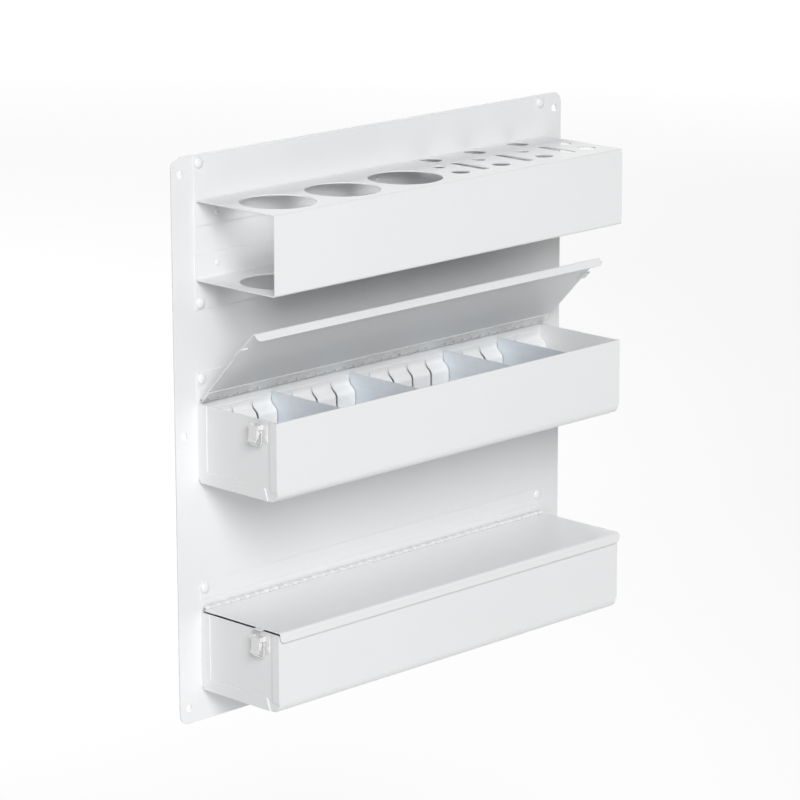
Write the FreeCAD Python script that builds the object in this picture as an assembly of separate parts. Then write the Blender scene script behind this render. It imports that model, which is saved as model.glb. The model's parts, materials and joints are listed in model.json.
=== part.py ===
import FreeCAD, Part
import math
import os

# Van door organizer: a flat steel back panel that carries a perforated can and tool
# holder on top and two lidded parts bins below it. Millimetres, +Z up, the panel stands
# in the XZ plane and everything hangs on its front, which looks along -Y.
# Origin: back face of the panel, centre of its four corner mounting holes.

# Back panel
panel_width = 527.0
panel_height = 546.0
panel_sheet = 1.5
panel_corner_radius = 11.0
mount_pitch_across = 506.0
mount_pitch_up = 514.0
mount_edge_below = 16.0
mount_middle_above_centre = 9.0
mount_hole_radius = 3.75

# What hangs on the panel: shared sizes of the holder and the bins
unit_width = 472.0
unit_height = 76.0
unit_depth = 107.5
unit_sheet = 1.2
unit_bend = 1.6
lower_bin_above_edge = 31.0
mid_bin_above_edge = 234.5
holder_above_edge = 428.0

# Dome headed bolts that hold the units to the panel
bolt_from_end = 5.0
bolt_head_radius = 5.25
bolt_head_height = 2.8
bolt_shank_radius = 3.0
bolt_clearance = 0.1

# Can and tool holder, hole places along it measured from its left end
holder_plate_below = 28.0
holder_plate_above = 40.0
holder_bolt_edge = 6.0
holder_flange = 25.0
rivet_from_end = 26.0
rivet_from_shelf = 13.5
rivet_head_radius = 3.35
rivet_head_height = 1.3
rivet_shank_radius = 1.6
can_hole_radius = 36.0
can_first_from_end = 48.0
can_pitch = 83.0
can_from_panel = 61.5
can_count = 3
tool_pitch = 61.5
tool_back_first = 296.0
tool_back_radius = 10.75
tool_back_from_panel = 15.8
tool_slot_offset = 5.0
tool_slot_width = 10.5
tool_slot_corner = 4.5
tool_slot_near = 38.0
tool_slot_far = 86.5
tool_pair_first = 273.5
tool_pair_second = 329.7
tool_small_radius = 7.0
tool_small_offset = 1.4
tool_small_from_panel = 46.0
tool_front_radius = 9.0
tool_front_offset = -2.0
tool_front_from_panel = 79.0
tool_end_margin = 8.0

# Bins: folded tray, end plates, slotted rails and dividers
bin_back_flange = 30.0
bin_bolt_above = 23.5
bin_front_bend = 8.3
end_flange_front = 9.5
end_flange_back = 12.0
end_flange_bottom = 12.0
end_flange_floor_start = 13.0
end_flange_floor_slant = 4.5
end_notch = 3.0
rail_sheet = 0.9
rail_from_top = 6.5
rail_top_flange = 7.0
rail_reach = 9.8
rail_slant = 6.4
rail_face = 34.0
rail_bottom_flange = 4.5
rail_end_clearance = 0.5
slot_pitch = 26.0
slot_count = 16
divider_sheet = 1.0
divider_clearance = 0.3
divider_below_top = 3.5
divider_wall_gap = 0.6
divider_corner = 2.4
divider_round = 6.8
divider_slots = (-5.5, -1.5, 3.5, 6.5)

# Lids and their full length hinges
lid_above_bin = 2.4
lid_lip_gap = 1.8
lid_lip = 10.0
lid_lip_corner = 5.0
lid_rest_angle = 46.0
hinge_leaf = 0.9
hinge_pin_radius = 1.45
hinge_pin_clearance = 0.05
hinge_gap = 0.3
hinge_end_clearance = 1.35
hinge_knuckle_count = 15
hinge_curl_sides = 8
hinge_fixed_leaf_height = 10.0
hinge_moving_leaf_width = 14.0

# Wire draw latches at the bin ends, sizes out from the bin's end face and down from its rim
latch_from_panel = 82.0
latch_plate_width = 24.0
latch_plate_sheet = 1.0
latch_plate_top = 4.0
latch_plate_bottom = 20.0
latch_width = 11.0
latch_side_gap = 0.3
latch_ear_sheet = 1.2
latch_ear_radius = 2.4
latch_pivot_out = 4.0
latch_pivot_down = 6.5
latch_pin_radius = 1.0
latch_pin_clearance = 0.05
latch_bail_out = 2.5
latch_bail_down = 10.0
latch_wire_radius = 0.8
latch_wire_clearance = 0.06
latch_wire_bend = 2.4
latch_bail_grip = 0.5
latch_lever_sheet = 1.0
latch_lever_face_out = 6.4
latch_lever_length = 10.5
latch_lever_flare = 2.0
latch_lever_tip = 3.4
latch_rivet_pitch = 19.6
latch_rivet_down = 15.5
latch_rivet_head_radius = 1.7
latch_rivet_head_height = 0.7
latch_rivet_shank_radius = 1.0
keeper_width = 9.6
keeper_sheet = 0.9
keeper_inside = 7.0
keeper_reach = 3.9
keeper_bead_radius = 0.45
keeper_bead_rise = 0.3
keeper_wire_seat = 2.3
keeper_wire_lift = 0.5

# Small round things are drawn as bars and holes with a few flat sides
small_sides = 8
wire_sides = 6
tool_hole_sides = 16

# Places worked out from the sizes above
mount_centre_above_edge = mount_edge_below + mount_pitch_up / 2
panel_bottom = -mount_centre_above_edge
panel_front = -panel_sheet
half_width = unit_width / 2
unit_front = panel_front - unit_depth
back_inner = panel_front - unit_sheet
front_inner = unit_front + unit_sheet
end_inner = half_width - unit_sheet
plate_inner = end_inner - unit_sheet
lower_bin_bottom = panel_bottom + lower_bin_above_edge
mid_bin_bottom = panel_bottom + mid_bin_above_edge
holder_bottom = panel_bottom + holder_above_edge
holder_top = holder_bottom + unit_height
barrel_bore = hinge_pin_radius + hinge_pin_clearance
barrel_radius = barrel_bore + hinge_leaf
hinge_y = back_inner - hinge_gap - barrel_radius
hinge_above_bin = lid_above_bin + barrel_bore
lid_front = unit_front - lid_lip_gap - unit_sheet
lid_back = hinge_y - barrel_radius - hinge_gap
hinge_half = half_width - hinge_end_clearance
hinge_knuckle = 2 * hinge_half / hinge_knuckle_count
latch_y = panel_front - latch_from_panel


def in_yz(u, v):
    """Put a flat outline in the YZ plane."""
    return FreeCAD.Vector(0, u, v)


def in_xz(u, v):
    """Put a flat outline in the XZ plane."""
    return FreeCAD.Vector(u, 0, v)


def in_xy(u, v):
    """Put a flat outline in the XY plane."""
    return FreeCAD.Vector(u, v, 0)


def unit(du, dv):
    """Direction of length one."""
    size = math.hypot(du, dv)
    return du / size, dv / size


def round_corner(before, at, after, radius):
    """Start, middle and end of the arc that rounds one corner of an outline."""
    back = unit(before[0] - at[0], before[1] - at[1])
    ahead = unit(after[0] - at[0], after[1] - at[1])
    half = math.acos(max(-1.0, min(1.0, back[0] * ahead[0] + back[1] * ahead[1]))) / 2
    reach = radius / math.tan(half)
    start = (at[0] + back[0] * reach, at[1] + back[1] * reach)
    end = (at[0] + ahead[0] * reach, at[1] + ahead[1] * reach)
    inward = unit(back[0] + ahead[0], back[1] + ahead[1])
    depth = radius / math.sin(half) - radius
    middle = (at[0] + inward[0] * depth, at[1] + inward[1] * depth)
    return start, middle, end


def outline(points, radii, plane):
    """Closed face through the points, each corner rounded by its own radius."""
    count = len(points)
    corners = []
    for index in range(count):
        at = points[index]
        if radii[index] > 0:
            after = points[(index + 1) % count]
            corners.append(round_corner(points[index - 1], at, after, radii[index]))
        else:
            corners.append((at, None, at))
    edges = []
    for index in range(count):
        start, middle, end = corners[index]
        if middle:
            edges.append(Part.Arc(plane(*start), plane(*middle), plane(*end)).toShape())
        goal = corners[(index + 1) % count][0]
        if math.hypot(goal[0] - end[0], goal[1] - end[1]) > 1e-6:
            edges.append(Part.makeLine(plane(*end), plane(*goal)))
    return Part.Face(Part.Wire(edges))


def bent_strip(path, sheet, bends, plane):
    """Section of a bent sheet: the path is one face, the sheet lies on its left.

    Each point of the path has its inner bend radius, and zero leaves a corner sharp.
    """
    last = len(path) - 1
    other = []
    path_radii = []
    other_radii = []
    for index in range(last + 1):
        at = path[index]
        before = path[max(index - 1, 0)]
        after = path[min(index + 1, last)]
        come = unit(at[0] - before[0], at[1] - before[1]) if index > 0 else None
        go = unit(after[0] - at[0], after[1] - at[1]) if index < last else None
        come = come or go
        go = go or come
        turn = come[0] * go[1] - come[1] * go[0]
        stretch = 1 + come[0] * go[0] + come[1] * go[1]
        other.append((at[0] - (come[1] + go[1]) * sheet / stretch,
                      at[1] + (come[0] + go[0]) * sheet / stretch))
        bend = bends[index]
        bent = bend > 0 and abs(turn) > 1e-9
        path_radii.append((bend + sheet if turn > 0 else bend) if bent else 0)
        other_radii.append((bend if turn > 0 else bend + sheet) if bent else 0)
    return outline(path + other[::-1], path_radii + other_radii[::-1], plane)


def box(x0, x1, y0, y1, z0, z1):
    """Block between two corners."""
    return Part.makeBox(x1 - x0, y1 - y0, z1 - z0, FreeCAD.Vector(x0, y0, z0))


def rod(radius, start, end):
    """Round bar from start to end."""
    axis = end - start
    return Part.makeCylinder(radius, axis.Length, start, axis)


def ring_points(corner_radius, sides, start, axis):
    """Corners of a regular polygon round an axis, with the first corner again at the end."""
    turn = FreeCAD.Rotation(FreeCAD.Vector(0, 0, 1), axis)
    points = []
    for step in range(sides + 1):
        angle = 2 * math.pi * (step + 0.5) / sides
        flat = FreeCAD.Vector(math.cos(angle), math.sin(angle), 0) * corner_radius
        points.append(start + turn.multVec(flat))
    return points


def small_bar(radius, start, end, sides):
    """Small round bar with flat sides, its corners on the radius."""
    face = Part.Face(Part.makePolygon(ring_points(radius, sides, start, end - start)))
    return face.extrude(end - start)


def small_hole(radius, start, end, sides):
    """Cutter for a small round hole, its flat sides on the radius."""
    return small_bar(radius / math.cos(math.pi / sides), start, end, sides)


def mount_hole(x, z):
    """Round cutter for one mounting hole of the panel."""
    return rod(mount_hole_radius, FreeCAD.Vector(x, panel_front - 1, z), FreeCAD.Vector(x, 1, z))


def fastener_hole(x, z, radius, front):
    """Cutter for a fastener's hole, from in front of a sheet to behind the panel."""
    return small_hole(radius, FreeCAD.Vector(x, front - 1, z), FreeCAD.Vector(x, 1, z),
                      small_sides)


def dome_fastener(place, direction, head, height, shank, length):
    """Low domed head on a shank: the head's flat side is at place, the shank goes back."""
    levels = [(head, 0), (head * 0.88, height / 2), (head / 2, height)]
    wires = []
    for radius, lift in levels:
        centre = place + direction * lift
        wires.append(Part.makePolygon(ring_points(radius, small_sides, centre, direction)))
    solid = Part.makeLoft(wires, True, True)
    return solid.fuse(small_bar(shank, place, place - direction * length, small_sides))


def bolt_places(heights):
    """Places of dome bolts, left and right at each height."""
    side = half_width - bolt_from_end
    return [(x, z) for z in heights for x in (-side, side)]


def holder_bolt_places():
    """Four bolts, one near each corner of the holder's back plate."""
    low = holder_bottom - holder_plate_below + holder_bolt_edge
    high = holder_top + holder_plate_above - holder_bolt_edge
    return bolt_places((low, high))


def bin_bolt_places(bottom):
    """Two bolts through a bin's back flange."""
    return bolt_places((bottom + unit_height + bin_bolt_above,))


def bolt_holes(places):
    """Clearance holes for dome bolts."""
    radius = bolt_shank_radius + bolt_clearance
    return [fastener_hole(x, z, radius, back_inner) for x, z in places]


def unit_bolts(places):
    """Dome bolts whose tails end flush with the back of the panel."""
    outward = FreeCAD.Vector(0, -1, 0)
    return [dome_fastener(FreeCAD.Vector(x, back_inner, z), outward, bolt_head_radius,
                          bolt_head_height, bolt_shank_radius, -back_inner)
            for x, z in places]


def mount_places():
    """Mounting holes of the panel: four corners and a middle pair."""
    side = mount_pitch_across / 2
    rise = mount_pitch_up / 2
    return [(x, z) for z in (-rise, mount_middle_above_centre, rise) for x in (-side, side)]


def make_panel():
    """Flat back panel with rounded corners and its holes."""
    side = panel_width / 2
    top = panel_bottom + panel_height
    corners = [(-side, panel_bottom), (side, panel_bottom), (side, top), (-side, top)]
    face = outline(corners, [panel_corner_radius] * 4, in_xz)
    panel = face.extrude(FreeCAD.Vector(0, panel_front, 0))
    cutters = [mount_hole(x, z) for x, z in mount_places()]
    cutters += bolt_holes(holder_bolt_places())
    cutters += bolt_holes(bin_bolt_places(mid_bin_bottom))
    cutters += bolt_holes(bin_bolt_places(lower_bin_bottom))
    return panel.cut(cutters)


def rivet_places():
    """Rivets that join the holder's flanges to its back plate."""
    rows = (holder_bottom + rivet_from_shelf, holder_top - rivet_from_shelf)
    side = half_width - rivet_from_end
    return [(x, z) for z in rows for x in (-side, 0, side)]


def rivet_holes():
    """Holes that the holder's rivets fill."""
    front = back_inner - unit_sheet
    return [fastener_hole(x, z, rivet_shank_radius, front) for x, z in rivet_places()]


def make_holder_plate():
    """Flat plate behind the holder, standing out above and below it."""
    plate = box(-half_width, half_width, back_inner, panel_front,
                holder_bottom - holder_plate_below, holder_top + holder_plate_above)
    return plate.cut(bolt_holes(holder_bolt_places()) + rivet_holes())


def shelf_line(x, from_panel, low, high):
    """Two ends of an upright line through a shelf."""
    y = panel_front - from_panel
    return FreeCAD.Vector(x, y, low), FreeCAD.Vector(x, y, high)


def can_holes():
    """Cutters for the can holes, through both shelves."""
    first = can_first_from_end - half_width
    xs = [first + step * can_pitch for step in range(can_count)]
    return [rod(can_hole_radius, *shelf_line(x, can_from_panel, holder_bottom - 1, holder_top + 1))
            for x in xs]


def tool_groups():
    """How many groups of tool holes fit before the holder's right end."""
    room = unit_width - tool_end_margin - tool_front_radius - tool_pair_second
    return int(room / tool_pitch) + 1


def tool_back_places():
    """Centres along X of the back tool holes, one per group."""
    return [tool_back_first + step * tool_pitch - half_width for step in range(tool_groups())]


def tool_pair_places():
    """Centres along X of the paired tool holes: one pair by the cans, then one per group."""
    later = [tool_pair_second + step * tool_pitch for step in range(tool_groups())]
    return [from_end - half_width for from_end in [tool_pair_first] + later]


def tool_holes():
    """Cutters for the tool holes and slots, through the top shelf only."""
    low = holder_top - 2 * unit_sheet
    high = holder_top + 1
    cutters = []
    for x in tool_back_places():
        start, end = shelf_line(x, tool_back_from_panel, low, high)
        cutters.append(small_hole(tool_back_radius, start, end, tool_hole_sides))
        left = x + tool_slot_offset - tool_slot_width / 2
        right = left + tool_slot_width
        far = panel_front - tool_slot_far
        near = panel_front - tool_slot_near
        corners = [(left, far), (right, far), (right, near), (left, near)]
        slot = outline(corners, [tool_slot_corner] * 4, in_xy)
        slot.translate(FreeCAD.Vector(0, 0, low))
        cutters.append(slot.extrude(FreeCAD.Vector(0, 0, high - low)))
    for x in tool_pair_places():
        start, end = shelf_line(x + tool_small_offset, tool_small_from_panel, low, high)
        cutters.append(small_hole(tool_small_radius, start, end, tool_hole_sides))
        start, end = shelf_line(x + tool_front_offset, tool_front_from_panel, low, high)
        cutters.append(small_hole(tool_front_radius, start, end, tool_hole_sides))
    return cutters


def make_holder_channel():
    """Folded channel: top shelf, front and bottom shelf with flanges on the back plate."""
    path = [(back_inner, holder_top - holder_flange), (back_inner, holder_top),
            (unit_front, holder_top), (unit_front, holder_bottom),
            (back_inner, holder_bottom), (back_inner, holder_bottom + holder_flange)]
    section = bent_strip(path, unit_sheet, [unit_bend] * len(path), in_yz)
    section.translate(FreeCAD.Vector(-half_width, 0, 0))
    channel = section.extrude(FreeCAD.Vector(unit_width, 0, 0))
    return channel.cut(can_holes() + tool_holes() + rivet_holes())


def make_holder_rivets():
    """Rivets with flat dome heads on the flanges, tails flush with the back plate."""
    front = back_inner - unit_sheet
    outward = FreeCAD.Vector(0, -1, 0)
    return [dome_fastener(FreeCAD.Vector(x, front, z), outward, rivet_head_radius,
                          rivet_head_height, rivet_shank_radius, 2 * unit_sheet)
            for x, z in rivet_places()]


def tray_end(bottom, side):
    """Flanges folded in from the front, floor and back of the tray round one open end."""
    top = bottom + unit_height
    over_floor = bottom + end_flange_bottom
    over_bend = bottom + bin_front_bend + unit_sheet
    front_edge = unit_front + end_flange_front
    back_edge = panel_front - end_flange_back
    floor_end = unit_front + end_flange_floor_start
    flanges = [
        [(unit_front, over_bend), (unit_front, top), (front_edge, top), (front_edge, over_bend)],
        [(panel_front, bottom + end_notch), (panel_front, top), (back_edge, top),
         (back_edge, bottom + end_notch)],
        [(panel_front - end_notch, bottom), (panel_front - end_notch, over_floor),
         (floor_end + end_flange_floor_slant, over_floor), (floor_end, bottom)]]
    solids = []
    for points in flanges:
        face = outline(points, [0] * len(points), in_yz)
        face.translate(FreeCAD.Vector(side * end_inner, 0, 0))
        solids.append(face.extrude(FreeCAD.Vector(side * unit_sheet, 0, 0)))
    return solids


def make_tray(bottom):
    """Tray folded from one sheet: front, floor, back with its flange, and end flanges."""
    top = bottom + unit_height
    path = [(unit_front, top), (unit_front, bottom), (panel_front, bottom),
            (panel_front, top + bin_back_flange)]
    bends = [0, bin_front_bend, unit_bend, 0]
    section = bent_strip(path, unit_sheet, bends, in_yz)
    section.translate(FreeCAD.Vector(-end_inner, 0, 0))
    tray = section.extrude(FreeCAD.Vector(2 * end_inner, 0, 0))
    strip = box(end_inner, half_width, back_inner, panel_front, top, top + bin_back_flange)
    other = box(-half_width, -end_inner, back_inner, panel_front, top, top + bin_back_flange)
    flanges = tray_end(bottom, -1) + tray_end(bottom, 1)
    tray = tray.fuse(flanges + [strip, other]).removeSplitter()
    return tray.cut(bolt_holes(bin_bolt_places(bottom)))


def latch_rivet_places(bottom, side):
    """Centres of the two rivets of a latch plate on the outer face of an end plate."""
    z = bottom + unit_height - latch_rivet_down
    return [FreeCAD.Vector(side * end_inner, latch_y + step * latch_rivet_pitch / 2, z)
            for step in (-1, 1)]


def latch_rivet_holes(bottom, side):
    """Holes that a latch's rivets fill."""
    reach = FreeCAD.Vector(side * 2 * unit_sheet, 0, 0)
    return [small_hole(latch_rivet_shank_radius, place - reach, place + reach, small_sides)
            for place in latch_rivet_places(bottom, side)]


def make_end_plate(bottom, side):
    """Plate that closes one end of a tray from inside."""
    floor = bottom + unit_sheet
    top = bottom + unit_height
    points = [(back_inner, floor), (back_inner, top), (front_inner, top), (front_inner, floor)]
    face = outline(points, [unit_bend, 0, 0, bin_front_bend], in_yz)
    face.translate(FreeCAD.Vector(side * plate_inner, 0, 0))
    plate = face.extrude(FreeCAD.Vector(side * unit_sheet, 0, 0))
    return plate.cut(latch_rivet_holes(bottom, side))


def make_rail(bottom, wall, inward):
    """Slotted hat section on the inner face of a long wall; inward is -1 or 1 along Y."""
    top = bottom + unit_height - rail_from_top
    foot = wall + inward * rail_sheet
    face = wall + inward * rail_reach
    slant_low = top - rail_top_flange - rail_slant
    face_low = slant_low - rail_face
    path = [(foot, top), (foot, top - rail_top_flange), (face, slant_low), (face, face_low),
            (foot, face_low - rail_slant),
            (foot, face_low - rail_slant - rail_bottom_flange)]
    if inward > 0:
        path.reverse()
    half = plate_inner - rail_end_clearance
    section = bent_strip(path, rail_sheet, [0] * len(path), in_yz)
    section.translate(FreeCAD.Vector(-half, 0, 0))
    rail = section.extrude(FreeCAD.Vector(2 * half, 0, 0))
    slot_half = divider_sheet / 2 + divider_clearance
    near = min(foot + inward * divider_clearance, face + inward)
    far = max(foot + inward * divider_clearance, face + inward)
    first = -(slot_count - 1) / 2
    slots = []
    for step in range(slot_count):
        x = (first + step) * slot_pitch
        slots.append(box(x - slot_half, x + slot_half, near, far,
                         face_low - rail_slant, top - rail_top_flange))
    return rail.cut(slots)


def make_divider(bottom, slot):
    """Loose plate that stands across a tray in a pair of rail slots."""
    floor = bottom + unit_sheet
    top = bottom + unit_height - divider_below_top
    back = back_inner - rail_sheet - divider_wall_gap
    front = front_inner + rail_sheet + divider_wall_gap
    cut = divider_corner
    points = [(back - cut, floor), (back, floor + cut), (back, top - cut / 2),
              (back - cut / 2, top), (front + cut / 2, top), (front, top - cut / 2),
              (front, floor)]
    face = outline(points, [0] * (len(points) - 1) + [divider_round], in_yz)
    face.translate(FreeCAD.Vector(slot * slot_pitch - divider_sheet / 2, 0, 0))
    return face.extrude(FreeCAD.Vector(divider_sheet, 0, 0))


def hinge_axis(bottom):
    """A point on the hinge axis of one bin."""
    return FreeCAD.Vector(0, hinge_y, bottom + unit_height + hinge_above_bin)


def knuckle_spans(first):
    """Start and end of every second knuckle along X, beginning with knuckle first."""
    start = -hinge_half
    spans = []
    for index in range(first, hinge_knuckle_count, 2):
        left = start + index * hinge_knuckle
        spans.append((left + hinge_gap / 2, left + hinge_knuckle - hinge_gap / 2))
    return spans


def knuckles(axis, first):
    """Barrels of one hinge leaf, curled from the leaf in short flats."""
    barrels = []
    for left, right in knuckle_spans(first):
        start = FreeCAD.Vector(left, axis.y, axis.z)
        end = FreeCAD.Vector(right, axis.y, axis.z)
        barrels.append(small_hole(barrel_radius, start, end, hinge_curl_sides))
    return barrels


def leaf_relief(axis, first):
    """Cutters that free a leaf from the barrels of the other leaf."""
    reach = barrel_radius + hinge_gap
    return [box(left - hinge_gap, right + hinge_gap, axis.y - reach, axis.y + reach,
                axis.z - reach, axis.z + reach) for left, right in knuckle_spans(first)]


def hinge_bore(axis):
    """Cutter for the bore along the whole hinge."""
    half = hinge_half + 1
    return small_hole(barrel_bore, FreeCAD.Vector(-half, axis.y, axis.z),
                      FreeCAD.Vector(half, axis.y, axis.z), hinge_curl_sides)


def make_fixed_leaf(bottom):
    """Hinge leaf that lies on the bin's back flange."""
    axis = hinge_axis(bottom)
    half = hinge_half - hinge_gap / 2
    leaf = box(-half, half, back_inner - hinge_leaf, back_inner, axis.z,
               axis.z + hinge_fixed_leaf_height)
    leaf = leaf.cut(leaf_relief(axis, 1))
    leaf = leaf.fuse(knuckles(axis, 0))
    return leaf.cut(hinge_bore(axis))


def make_moving_leaf(bottom):
    """Hinge leaf that lies under the lid, drawn with the lid closed."""
    axis = hinge_axis(bottom)
    half = hinge_half - hinge_gap / 2
    leaf = box(-half, half, axis.y - hinge_moving_leaf_width, axis.y,
               axis.z - barrel_radius, axis.z - barrel_bore)
    leaf = leaf.cut(leaf_relief(axis, 0))
    leaf = leaf.fuse(knuckles(axis, 1))
    return leaf.cut(hinge_bore(axis))


def make_hinge_pin(bottom):
    """Pin through all knuckles of one hinge."""
    axis = hinge_axis(bottom)
    half = hinge_half - hinge_gap / 2
    return rod(hinge_pin_radius, FreeCAD.Vector(-half, axis.y, axis.z),
               FreeCAD.Vector(half, axis.y, axis.z))


def make_lid(bottom):
    """Flat lid with a front lip, drawn closed."""
    under = bottom + unit_height + lid_above_bin
    top = under + unit_sheet
    path = [(lid_back, top), (lid_front, top), (lid_front, top - lid_lip)]
    section = bent_strip(path, unit_sheet, [unit_bend] * len(path), in_yz)
    section.translate(FreeCAD.Vector(-half_width, 0, 0))
    lid = section.extrude(FreeCAD.Vector(unit_width, 0, 0))
    low = top - lid_lip
    lip_view = outline([(-half_width, low), (half_width, low), (half_width, top + 1),
                        (-half_width, top + 1)], [lid_lip_corner, lid_lip_corner, 0, 0], in_xz)
    lip_view.translate(FreeCAD.Vector(0, lid_front - 1, 0))
    return lid.common(lip_view.extrude(FreeCAD.Vector(0, 2 * unit_depth, 0)))


def make_keeper(bottom, side):
    """Tongue under the lid that the latch wire pulls on, drawn with the lid closed."""
    under = bottom + unit_height + lid_above_bin
    inner = side * (half_width - keeper_inside)
    outer = side * (half_width + keeper_reach)
    near = latch_y - keeper_width / 2
    far = latch_y + keeper_width / 2
    tongue = box(min(inner, outer), max(inner, outer), near, far, under - keeper_sheet, under)
    bead_z = under - keeper_bead_radius + keeper_bead_rise
    bead = small_bar(keeper_bead_radius, FreeCAD.Vector(outer, near, bead_z),
                     FreeCAD.Vector(outer, far, bead_z), wire_sides)
    return tongue.fuse(bead)


def out_from_end(side, out):
    """X of a point that lies out in front of a bin's end face."""
    return side * (half_width + out)


def latch_outline(side, rim, points):
    """Face in the XZ plane from sizes out from the end face and down from the rim."""
    corners = [(out_from_end(side, out), rim - down) for out, down in points]
    return outline(corners, [0] * len(corners), in_xz)


def latch_axis(side, rim, out, down, half_length):
    """Two ends of a line along Y, centred on the latch."""
    x = out_from_end(side, out)
    return (FreeCAD.Vector(x, latch_y - half_length, rim - down),
            FreeCAD.Vector(x, latch_y + half_length, rim - down))


def ear_outer():
    """Distance from the latch's middle plane to the outer face of an ear."""
    return latch_width / 2 + latch_side_gap + latch_ear_sheet


def wire_side():
    """Distance from the latch's middle plane to the centre of a bail leg."""
    return ear_outer() + latch_side_gap + latch_wire_radius


def bail_length():
    """Pivot to crossbar, so that the wire drops behind the keeper's bead when hooked."""
    rise = latch_bail_down + lid_above_bin + keeper_wire_lift + latch_wire_radius
    return math.hypot(rise, latch_bail_out - keeper_wire_seat)


def make_latch_base(bottom, side):
    """Riveted plate with two ears that carry the lever's pivot."""
    rim = bottom + unit_height
    inside = side * end_inner
    outside = side * (end_inner + latch_plate_sheet)
    half = latch_plate_width / 2
    plate = box(min(inside, outside), max(inside, outside), latch_y - half, latch_y + half,
                rim - latch_plate_bottom, rim - latch_plate_top)
    plate = plate.cut(latch_rivet_holes(bottom, side))
    root = -unit_sheet + latch_plate_sheet / 2
    tip = latch_pivot_out + latch_ear_radius
    above = latch_pivot_down - latch_ear_radius
    below = latch_pivot_down + latch_ear_radius
    cut = latch_ear_radius / 2
    points = [(root, above), (tip - cut, above), (tip, above + cut), (tip, below - cut),
              (tip - cut, below), (root, below)]
    ears = []
    for place in (latch_y - ear_outer(), latch_y + ear_outer() - latch_ear_sheet):
        face = latch_outline(side, rim, points)
        face.translate(FreeCAD.Vector(0, place, 0))
        ears.append(face.extrude(FreeCAD.Vector(0, latch_ear_sheet, 0)))
    start, end = latch_axis(side, rim, latch_pivot_out, latch_pivot_down, ear_outer() + 1)
    return plate.fuse(ears).cut(small_hole(latch_pin_radius, start, end, small_sides))


def make_latch_pin(bottom, side):
    """Pivot pin of the lever, flush with the ears."""
    start, end = latch_axis(side, bottom + unit_height, latch_pivot_out, latch_pivot_down,
                            ear_outer())
    return small_bar(latch_pin_radius, start, end, small_sides)


def make_latch_rivets(bottom, side):
    """Rivets that hold a latch plate to the end plate."""
    outward = FreeCAD.Vector(side, 0, 0)
    lift = FreeCAD.Vector(side * latch_plate_sheet, 0, 0)
    return [dome_fastener(place + lift, outward, latch_rivet_head_radius,
                          latch_rivet_head_height, latch_rivet_shank_radius,
                          latch_plate_sheet + unit_sheet)
            for place in latch_rivet_places(bottom, side)]


def make_lever(bottom, side):
    """Folded lever: a thumb plate with two cheeks, drawn folded down against the bin."""
    rim = bottom + unit_height
    face_out = latch_lever_face_out
    top = latch_pivot_down - 1.7
    low = latch_pivot_down + latch_lever_length
    inner = latch_bail_out - 2 * latch_wire_radius
    half = latch_width / 2
    back = face_out - latch_lever_sheet
    plate = latch_outline(side, rim, [
        (face_out, top), (face_out, low), (face_out + latch_lever_flare, low + latch_lever_tip),
        (back + latch_lever_flare, low + latch_lever_tip), (back, low), (back, top)])
    plate.translate(FreeCAD.Vector(0, latch_y - half, 0))
    lever = plate.extrude(FreeCAD.Vector(0, latch_width, 0))
    middle = face_out - latch_lever_sheet / 2
    cheek_points = [(latch_pivot_out - 0.6, top), (middle, top), (middle, low),
                    (back - 0.6, low), (inner + 1.2, latch_bail_down + 2.4),
                    (inner, latch_bail_down + 1.2), (inner, latch_bail_down - 1.4),
                    (latch_pivot_out - 1.9, latch_pivot_down - 0.6)]
    cheeks = []
    for place in (latch_y - half, latch_y + half - latch_lever_sheet):
        cheek = latch_outline(side, rim, cheek_points)
        cheek.translate(FreeCAD.Vector(0, place, 0))
        cheeks.append(cheek.extrude(FreeCAD.Vector(0, latch_lever_sheet, 0)))
    start, end = latch_axis(side, rim, latch_pivot_out, latch_pivot_down, latch_width)
    pivot = small_hole(latch_pin_radius + latch_pin_clearance, start, end, small_sides)
    start, end = latch_axis(side, rim, latch_bail_out, latch_bail_down, latch_width)
    wire = small_hole(latch_wire_radius + latch_wire_clearance, start, end, wire_sides)
    return lever.fuse(cheeks).cut([pivot, wire])


def make_bail(bottom, side):
    """Wire loop pivoted on the lever, drawn hanging straight down."""
    rim = bottom + unit_height
    x = out_from_end(side, latch_bail_out)
    high = rim - latch_bail_down
    low = high - bail_length()
    leg = wire_side()
    tip = latch_width / 2 - latch_lever_sheet - latch_bail_grip
    turn = latch_wire_bend
    route = [(-tip, high), (-leg, high), (-leg, low + turn), (-leg + turn, low),
             (leg - turn, low), (leg, low + turn), (leg, high), (tip, high)]
    points = [FreeCAD.Vector(x, latch_y + across, z) for across, z in route]
    ring = ring_points(latch_wire_radius, wire_sides, points[0], FreeCAD.Vector(0, -1, 0))
    sharp_corners = 1
    return Part.makePolygon(points).makePipeShell([Part.makePolygon(ring)], True, True,
                                                  sharp_corners)


def opened(shape, bottom, angle):
    """Turn a lid piece up about its hinge."""
    turned = shape.copy()
    turned.rotate(hinge_axis(bottom), FreeCAD.Vector(-1, 0, 0), angle)
    return turned


def save(name, solids):
    """Write one named piece, or a group of like pieces, to its file."""
    shape = Part.makeCompound(solids) if isinstance(solids, list) else solids
    shape.exportStep(os.path.join("parts", name + ".step"))


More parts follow.
